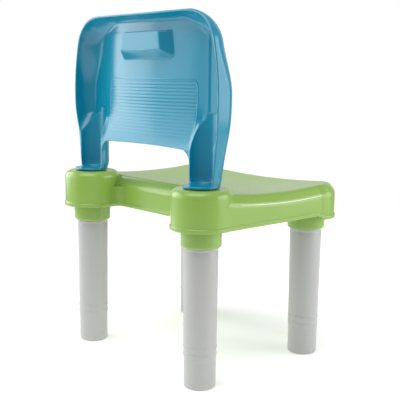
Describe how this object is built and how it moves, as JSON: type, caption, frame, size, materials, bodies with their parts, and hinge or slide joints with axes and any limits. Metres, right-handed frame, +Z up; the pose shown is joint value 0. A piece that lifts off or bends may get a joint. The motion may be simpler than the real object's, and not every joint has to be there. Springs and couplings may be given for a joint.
{
  "type": "toddler chair",
  "caption": "Toddler chair with a dished seat, a curved backrest with a finger grip and ribbed panel, and push-in round legs.",
  "frame": {"origin": "on the floor, midway between the four legs", "axes": "+Z up, +Y towards the backrest, so the sitter faces -Y and the sitter's left is +X"},
  "size_m": [0.2978, 0.2594, 0.439],
  "materials": {
    "green_plastic": "smooth gloss",
    "blue_plastic": "smooth gloss",
    "white_plastic": "soft gloss"
  },
  "bodies": {
    "seat": {"seat": "green_plastic"},
    "backrest": {"backrest": "blue_plastic"},
    "leg_front_left": {"leg_front_left": "white_plastic"},
    "leg_front_right": {"leg_front_right": "white_plastic"},
    "leg_rear_left": {"leg_rear_left": "white_plastic"},
    "leg_rear_right": {"leg_rear_right": "white_plastic"}
  },
  "joints": [
    {"name": "backrest_lift", "type": "slide", "parent": "seat", "child": "backrest", "axis": [0, 0, 1], "range_m": [0, 0.04]},
    {"name": "leg_front_left_pull", "type": "slide", "parent": "seat", "child": "leg_front_left", "axis": [0, 0, -1], "range_m": [0, 0.045]},
    {"name": "leg_front_right_pull", "type": "slide", "parent": "seat", "child": "leg_front_right", "axis": [0, 0, -1], "range_m": [0, 0.045]},
    {"name": "leg_rear_left_pull", "type": "slide", "parent": "seat", "child": "leg_rear_left", "axis": [0, 0, -1], "range_m": [0, 0.045]},
    {"name": "leg_rear_right_pull", "type": "slide", "parent": "seat", "child": "leg_rear_right", "axis": [0, 0, -1], "range_m": [0, 0.045]}
  ]
}
